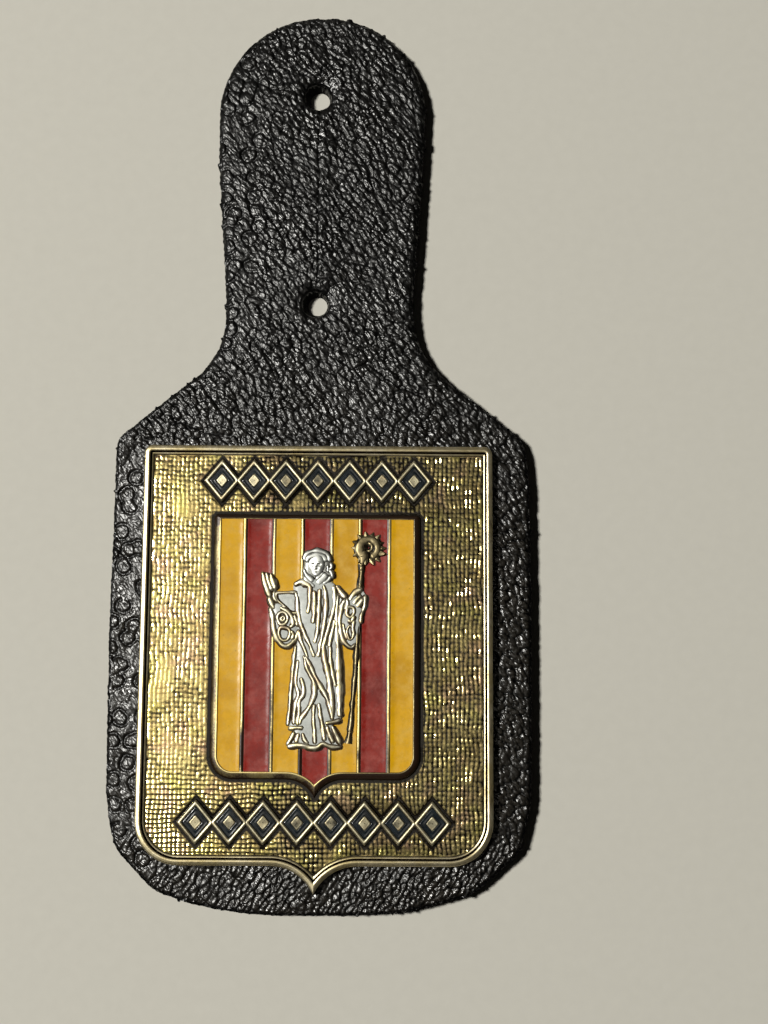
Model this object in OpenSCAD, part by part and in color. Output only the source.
// Leather pocket fob with an enamelled brass police badge, lying on its back.
// X runs across the fob, Y towards the strap's round head, Z out of the badge's face.
// Z = 0 is the back of the leather, and X = Y = 0 the middle of its outline.

/* [Leather fob] */
// Length from the round head to the bottom edge
fob_l = 95; // [90:1:104]
// Width at the badge
body_w = 43; // [41:0.5:50]
// Length of the wide body, from the shoulder's corner to the bottom edge
body_l = 48.5; // [48.5:0.5:52]
// Width of the strap's round head
head_w = 22.5; // [21:0.5:25]
// Width of the strap's waist
waist_w = 20.4; // [18:0.2:20.8]
// Thickness of the leather
leather_t = 2.2; // [1.8:0.1:3]

/* [Button slit] */
// Radius of the two punched holes
hole_r = 1.0; // [0.8:0.1:1.3]
// Distance between the two holes
hole_gap = 23; // [18:0.5:24]
// Upper hole's distance from the top of the head
hole_drop = 8.8; // [7:0.1:10]
// Width of the knife slit that joins the holes
slit_w = 0.2; // [0.15:0.05:0.4]

/* [Badge plate] */
// Width of the struck plate
plate_w = 36.2; // [34:0.2:37]
// Length of the plate down to its tip
plate_l = 45.65; // [45:0.05:46]
// Leather left bare below the plate's tip
tip_margin = 2.1; // [1.8:0.1:3]
// Height of the plain ground above the plate's back
ground_h = 0.8; // [0.75:0.05:0.95]
// Height of the half-round rim above the plate's back
rim_h = 1.4; // [1.3:0.05:1.6]

/* [Enamelled shield] */
// Width of the shield over its frame
shield_w = 21.4; // [21:0.1:22]
// Length of the shield down to its tip
shield_l = 28.9; // [28:0.1:29.4]
// Top of the shield below the top of the plate
shield_drop = 7.25; // [7:0.05:7.5]
// Width of the shield's raised frame
frame_w = 0.55; // [0.4:0.05:0.7]
// Width of the raised wall between two stripes
wall_w = 0.42; // [0.35:0.01:0.5]
// Number of stripes, yellow at both edges
stripes = 7; // [5:2:9]

/* [Lozenge bands] */
// Number of lozenges in the upper band
top_lozenges = 7; // [5:1:8]
// Number of lozenges in the lower band
low_lozenges = 8; // [6:1:9]
// Height of a lozenge
lozenge_h = 4.4; // [4:0.1:4.6]
// Width of a lozenge's raised outline
line_w = 0.36; // [0.3:0.02:0.4]

/* [Hidden] */
$fn = 48;
EPS = 0.01;
// Clearance between two pieces
GAP = 0.03;

TOP_Y = fob_l/2;
LOW_Y = -fob_l/2;
SHOULDER_Y = LOW_Y + body_l;
SHOULDER_ANGLE = 38.9;
NECK_Y = SHOULDER_Y + (body_w - waist_w)/2*tan(SHOULDER_ANGLE);

SEAT_Z = leather_t + GAP;
PLATE_Y = LOW_Y + tip_margin + plate_l;
FLOOR_H = 0.5;
ENAMEL_H = 1.2;
WALL_H = 1.25;
LINE_H = 1.3;
POST_R = 0.9;
POST_HEAD_R = 1.9;
POST_HEAD_H = 0.5;
POSTS = [[0, -4], [0, -38.6]];

INNER_W = shield_w - 2*frame_w;
PITCH = (INNER_W + wall_w)/stripes;
STRIPE_W = PITCH - wall_w;

RELIEF_H = WALL_H + GAP;
BASE_T = 0.14;
FOLD_H = 0.4;

YELLOW = "goldenrod";
RED = "firebrick";
DARK = "midnightblue";
BRASS = "darkgoldenrod";
SILVER = "silver";
WHITE = "gainsboro";

// Outlines. A row is a corner of a polygon walked counter-clockwise: x, y, rounding radius.
function unit(v) = v/norm(v);
function left(v) = [-v[1], v[0]];
function xy(row) = [row[0], row[1]];
function wrap(rows, i) = xy(rows[(i + len(rows)) % len(rows)]);
function turn(u, v) = atan2(u[0]*v[1] - u[1]*v[0], u*v);

// The same outline moved inwards by d, with its arcs kept parallel
function inset_row(rows, i, d) =
    let (
        u = unit(wrap(rows, i) - wrap(rows, i - 1)),
        v = unit(wrap(rows, i + 1) - wrap(rows, i)),
        bend = turn(u, v) > 0 ? 1 : -1,
        move = (left(u) + left(v))*d/(1 + u*v),
        r = rows[i][2] == 0 ? 0 : max(0, rows[i][2] - bend*d)
    )
    [rows[i][0] + move[0], rows[i][1] + move[1], r];

function inset(rows, d) = [for (i = [0:len(rows) - 1]) inset_row(rows, i, d)];

// Points of one corner: the corner itself, or an arc between its two sides
function corner(rows, i) =
    let (
        here = wrap(rows, i),
        r = rows[i][2],
        u = unit(here - wrap(rows, i - 1)),
        v = unit(wrap(rows, i + 1) - here),
        angle = turn(u, v),
        side = angle > 0 ? 1 : -1,
        start = here - u*r*tan(abs(angle)/2),
        centre = start + left(u)*r*side,
        steps = max(2, ceil(abs(angle)/8)),
        from = atan2(start[1] - centre[1], start[0] - centre[0])
    )
    r < 0.01 || abs(angle) < 0.5
        ? [here]
        : [for (k = [0:steps]) centre + r*[cos(from + angle*k/steps), sin(from + angle*k/steps)]];

function rounded(rows) = [for (i = [0:len(rows) - 1]) each corner(rows, i)];

// Right half of an outline, from the bottom to the top, and its mirror image
function mirrored(half) =
    concat(half, [for (i = [len(half) - 1:-1:0]) [-half[i][0], half[i][1], half[i][2]]]);

module outline(rows, d = 0) {
    polygon(rounded(inset(rows, d)));
}

module ring(rows, from, to) {
    difference() {
        outline(rows, from);
        outline(rows, to);
    }
}

// A curved stroke of changing width through rows of x, y, half width
function blend(a, b, c, d, t) =
    0.5*(2*b + (c - a)*t + (2*a - 5*b + 4*c - d)*t*t + (3*b - a - 3*c + d)*t*t*t);

function curve(rows, steps = 4) =
    let (last = len(rows) - 1)
    [
        for (i = [0:last - 1])
            for (k = [0:steps - (i == last - 1 ? 0 : 1)])
                blend(rows[max(i - 1, 0)], rows[i], rows[i + 1], rows[min(i + 2, last)], k/steps)
    ];

function along(points, i) =
    unit(xy(points[min(i + 1, len(points) - 1)]) - xy(points[max(i - 1, 0)]));

function bank(points, side) =
    [
        for (i = [0:len(points) - 1])
            xy(points[i]) + left(along(points, i))*points[i][2]*side
    ];

function reversed(list) = [for (i = [len(list) - 1:-1:0]) list[i]];

// Points of a stroke's middle line, grown by a clearance at its sides and both ends
function grown(points, grow) =
    let (last = len(points) - 1)
    [
        for (i = [0:last])
            let (
                ends = i == 0 ? -1 : (i == last ? 1 : 0),
                p = xy(points[i]) + along(points, i)*grow*ends
            )
            [p[0], p[1], points[i][2] + grow]
    ];

module stroke(rows, grow = 0) {
    line = grown(curve(rows), grow);
    polygon(concat(bank(line, -1), reversed(bank(line, 1))));
}

// The fob's outline: bottom edge, cut corner, side, shoulder, waist and round head
FOB = mirrored([
    [9, LOW_Y, 34],
    [16, LOW_Y + 2.25, 5],
    [body_w/2 - 1.2, LOW_Y + 6.5, 4],
    [body_w/2 - 0.15, LOW_Y + 11.5, 14],
    [body_w/2, LOW_Y + 30, 150],
    [body_w/2 - 0.25, SHOULDER_Y, 1.2],
    [waist_w/2, NECK_Y, 8],
    [waist_w/2, NECK_Y + 6.5, 20],
    [head_w/2, TOP_Y - 16, 30],
    [head_w/2, TOP_Y, head_w/2 - 0.35]
]);

// A shield with square top corners, round lower corners and an ogee down to its tip.
// Moved inwards by d, its edges and arcs stay parallel and meet again on the middle line.
function shield(w, l, tip_w, tip_h, top_r, low_r, drop, d) =
    let (
        sweep_r = (tip_w*tip_w + tip_h*tip_h)/(2*tip_h) + d,
        sweep_h = sweep_r - sqrt(sweep_r*sweep_r - tip_w*tip_w),
        bend_x = tip_w - sweep_r*sweep_h/tip_w,
        x = w/2 - d,
        high_y = -drop - d,
        low_y = -drop - l + tip_h + d
    )
    [
        [0, low_y - sweep_h, 0],
        [bend_x, low_y, sweep_r],
        [x, low_y, low_r - d],
        [x, high_y, max(0, top_r - d)],
        [-x, high_y, max(0, top_r - d)],
        [-x, low_y, low_r - d],
        [-bend_x, low_y, sweep_r]
    ];

function plate_rows(d = 0) = shield(plate_w, plate_l, 4.4, 2.85, 0.9, 4.5, 0, d);
function shield_rows(d = 0) = shield(shield_w, shield_l, 2.9, 1.9, 0.5, 2.4, shield_drop, d);

module plate_ring(from, to) {
    difference() {
        outline(plate_rows(from));
        outline(plate_rows(to));
    }
}

module shield_ring(from, to) {
    difference() {
        outline(shield_rows(from));
        outline(shield_rows(to));
    }
}

// Lozenge bands: x of each lozenge's middle, in a row of width w
function band_x(count, w) = [for (i = [0:count - 1]) (i - (count - 1)/2)*w/count];

TOP_BAND_W = 23.2;
LOW_BAND_W = 27.2;
TOP_BAND_Y = -3.75;
LOW_BAND_Y = -38.5;
TOP_X = band_x(top_lozenges, TOP_BAND_W);
LOW_X = band_x(low_lozenges, LOW_BAND_W);

function lozenge(w, h) = [[0, -h/2, 0], [w/2, 0, 0], [0, h/2, 0], [-w/2, 0, 0]];

module lozenge_lines(w, h) {
    ring(lozenge(w, h), 0, line_w);
    outline(lozenge(w, h), 3*line_w - 0.15);
}

module lozenge_fill(w, h) {
    ring(lozenge(w, h), line_w + GAP, 3*line_w - 0.15 - GAP);
}

module band_lines(xs, w, y) {
    for (x = xs)
        translate([x, y])
            lozenge_lines(w, lozenge_h);
}

// Leather

module leather_fob() {
    color("#1c1b1b")
        difference() {
            linear_extrude(leather_t) outline(FOB);
            button_slit();
            post_holes();
        }
}

module button_slit() {
    for (y = [0, -hole_gap])
        translate([0, TOP_Y - hole_drop + y, 0]) {
            translate([0, 0, -1]) cylinder(r = hole_r, h = leather_t + 2);
            translate([0, 0, leather_t - 0.3]) cylinder(r1 = hole_r, r2 = hole_r + 0.4, h = 0.3 + EPS);
        }
    translate([-slit_w/2, TOP_Y - hole_drop - hole_gap, -1])
        cube([slit_w, hole_gap, leather_t + 2]);
}

module post_holes() {
    for (p = POSTS)
        translate([p[0], PLATE_Y + p[1], -1]) {
            cylinder(r = POST_R + GAP, h = leather_t + 2);
            cylinder(r = POST_HEAD_R + GAP, h = 1 + POST_HEAD_H + 2*GAP);
        }
}

// Brass plate, struck in one piece, with its soldered posts

module on_plate(h = 0) {
    translate([0, PLATE_Y, SEAT_Z + h]) children();
}

module badge_plate() {
    color(BRASS)
        on_plate() {
            linear_extrude(FLOOR_H) outline(plate_rows());
            linear_extrude(ground_h)
                difference() {
                    outline(plate_rows(0.25));
                    outline(shield_rows(frame_w/2));
                }
            linear_extrude(rim_h) plate_ring(0.45, 0.95);
            linear_extrude(ground_h + 0.15) plate_ring(1.15, 1.33);
            linear_extrude(WALL_H) shield_ring(0, frame_w);
            linear_extrude(WALL_H) stripe_walls();
            linear_extrude(LINE_H) {
                band_lines(TOP_X, TOP_BAND_W/top_lozenges + line_w, TOP_BAND_Y);
                band_lines(LOW_X, LOW_BAND_W/low_lozenges + line_w, LOW_BAND_Y);
            }
            for (p = POSTS)
                translate([p[0], p[1], 0]) post();
        }
}

module post() {
    translate([0, 0, -SEAT_Z + GAP]) {
        cylinder(r = POST_R, h = SEAT_Z + FLOOR_H/2);
        cylinder(r = POST_HEAD_R, h = POST_HEAD_H);
    }
}

function stripe_x(i) = -INNER_W/2 + STRIPE_W/2 + i*PITCH;

module stripe_walls() {
    intersection() {
        outline(shield_rows(frame_w/2));
        for (i = [0:stripes - 2])
            translate([stripe_x(i) + PITCH/2 - wall_w/2, -plate_l])
                square([wall_w, plate_l]);
    }
}

// Enamel

module stripe(i) {
    on_plate(FLOOR_H + GAP)
        linear_extrude(ENAMEL_H - FLOOR_H - GAP)
            intersection() {
                outline(shield_rows(frame_w + GAP));
                translate([stripe_x(i) - STRIPE_W/2 + GAP, -plate_l])
                    square([STRIPE_W - 2*GAP, plate_l]);
            }
}

module enamel_yellow(i) {
    color(YELLOW) stripe(2*i - 2);
}

module enamel_red(i) {
    color(RED) stripe(2*i - 1);
}

module enamel_dark(x, y, w) {
    color(DARK)
        on_plate(ground_h + GAP)
            translate([x, y, 0])
                linear_extrude(LINE_H - 0.06 - ground_h - GAP)
                    lozenge_fill(w, lozenge_h);
}

// Standing figure in a long hooded robe, with a book and a staff, raised over the stripes.
// Its places are measured from the middle of the plate's top edge.

HEAD = [0, -12.1];
HEAD_R = 1.25;
COWL_R = HEAD_R + 0.35;
BOOK_W = 2.2;
BOOK = [-3.4, -16.2];
RAISED_HAND = [-4.75, -14.7];
STAFF_HAND = [3.85, -18.3];
HAND_R = 0.7;
BORDER = 0.25;

// Cells of the dress: corners of each outline and their rounding radii
ROBE = [
    [-3.5, -31.1, 0.5],
    [2.8, -31.1, 0.5],
    [2.1, -25, 6],
    [1.9, -21.1, 6],
    [1.2, -14.6, 0.6],
    [-1.2, -14.6, 0.6],
    [-1.9, -21.1, 6],
    [-2.2, -25, 6]
];

BOOK_SLEEVE = [
    [-4.9, -20.2, 0.9],
    [-1.7, -21.1, 0.5],
    [-1, -14.6, 0.5],
    [-2.5, -14.8, 0.6],
    [-2.5, -17.1, 0.1],
    [-4.9, -17.1, 0.6]
];

STAFF_SLEEVE = [
    [1.7, -21.1, 0.5],
    [3.25, -20.5, 0.8],
    [3.45, -16.2, 0.9],
    [2.5, -14.8, 0.6],
    [1, -14.6, 0.5]
];

BOOK_COVER = [
    for (c = [[1, -1], [1, 1], [-1, 1], [-1, -1]])
        [BOOK[0] + c[0]*BOOK_W/2, BOOK[1] + c[1]*BOOK_W/2, 0.25]
];

// Folds of the robe: rows of x, y, half width, from the top of the fold down
FOLDS = [
    [[-1.0, -17.4, 0.08], [-1.25, -21, 0.15], [-1.3, -25, 0.17], [-2, -29.8, 0.12]],
    [[-0.35, -16.4, 0.08], [-0.4, -20, 0.13], [-0.6, -24, 0.17], [-0.5, -27, 0.15], [-0.9, -30.2, 0.1]],
    [[0.35, -16.4, 0.08], [0.4, -20, 0.13], [0.25, -25, 0.16], [0.4, -30.2, 0.12]],
    [[1.0, -17.4, 0.08], [1.25, -21, 0.15], [1.1, -25, 0.16], [1.7, -29.8, 0.12]]
];

// Shaft of the staff: rows of x, y, half width
SHAFT = [[4.5, -11.6, 0.2], [4, -15.5, 0.22], [3.8, -20, 0.22], [3.4, -31, 0.2]];
STAFF_HEAD = [5.15, -10.5];
CROOK_R = 1.45;
LEAVES = 8;

module relief(from, to) {
    on_plate(RELIEF_H + from) linear_extrude(to - from) children();
}

module knob(p, r) {
    on_plate(RELIEF_H)
        translate([p[0], p[1], BASE_T/2])
            difference() {
                sphere(r = r);
                translate([0, 0, -2*r]) cube(4*r, center = true);
            }
}

module figure_base() {
    outline(ROBE);
    outline(BOOK_SLEEVE);
    outline(STAFF_SLEEVE);
    outline(BOOK_COVER);
    translate(HEAD) circle(r = COWL_R);
    translate([-0.9, -15.2]) square([1.8, 2]);
    translate(RAISED_HAND) circle(r = HAND_R + 0.05);
    translate(STAFF_HAND) circle(r = HAND_R + 0.05);
}

module figure_lines() {
    ring(ROBE, 0, BORDER);
    ring(BOOK_SLEEVE, 0, BORDER);
    ring(STAFF_SLEEVE, 0, BORDER);
    ring(BOOK_COVER, 0, BORDER);
    for (fold = FOLDS)
        stroke(fold);
}

module figure() {
    color(SILVER) {
        relief(0, BASE_T) figure_base();
        difference() {
            union() {
                relief(BASE_T/2, BASE_T + FOLD_H) figure_lines();
                knob(RAISED_HAND, HAND_R);
                knob(STAFF_HAND, HAND_R);
                knob(HEAD, HEAD_R);
                cowl();
            }
            staff_channel();
        }
    }
}

// Rolled edge of the hood around the face
module cowl() {
    on_plate(RELIEF_H)
        translate([HEAD[0], HEAD[1], BASE_T/2])
            rotate_extrude()
                translate([HEAD_R - 0.05, 0])
                    square([COWL_R - HEAD_R, 0.6]);
}

// Room for the shaft in front of the hand that holds it
module staff_channel() {
    relief(BASE_T, 2) stroke(SHAFT, GAP);
}

module crook() {
    difference() {
        circle(r = CROOK_R);
        circle(r = CROOK_R - 0.5);
    }
    circle(r = 0.45);
    translate([-0.15, -CROOK_R + 0.2]) square([0.3, 1]);
    for (i = [0:LEAVES - 1])
        rotate(i*360/LEAVES)
            translate([CROOK_R + 0.15, 0]) circle(r = 0.33);
}

module staff() {
    color(BRASS)
        difference() {
            relief(0, BASE_T + FOLD_H) {
                stroke(SHAFT);
                translate(STAFF_HEAD) crook();
            }
            relief(-EPS, BASE_T + GAP)
                translate(STAFF_HAND) circle(r = HAND_R + 0.05 + GAP);
        }
}

// White enamel in the cells of the figure

module white_cell(rows) {
    color(WHITE)
        relief(BASE_T + GAP, BASE_T + FOLD_H - GAP)
            difference() {
                outline(rows, BORDER + GAP);
                children();
            }
}

module white_robe() {
    white_cell(ROBE)
        for (fold = FOLDS)
            stroke(fold, GAP);
}

module white_sleeve_1() {
    white_cell(BOOK_SLEEVE);
}

module white_sleeve_2() {
    white_cell(STAFF_SLEEVE)
        translate(STAFF_HAND) circle(r = HAND_R + GAP);
}

module white_book() {
    white_cell(BOOK_COVER);
}

leather_fob();
badge_plate();
for (i = [1:(stripes + 1)/2])
    enamel_yellow(i);
for (i = [1:(stripes - 1)/2])
    enamel_red(i);
for (i = [1:top_lozenges])
    enamel_dark(TOP_X[i - 1], TOP_BAND_Y, TOP_BAND_W/top_lozenges + line_w);
for (i = [1:low_lozenges])
    enamel_dark(LOW_X[i - 1], LOW_BAND_Y, LOW_BAND_W/low_lozenges + line_w);
figure();
staff();
white_robe();
white_sleeve_1();
white_sleeve_2();
white_book();
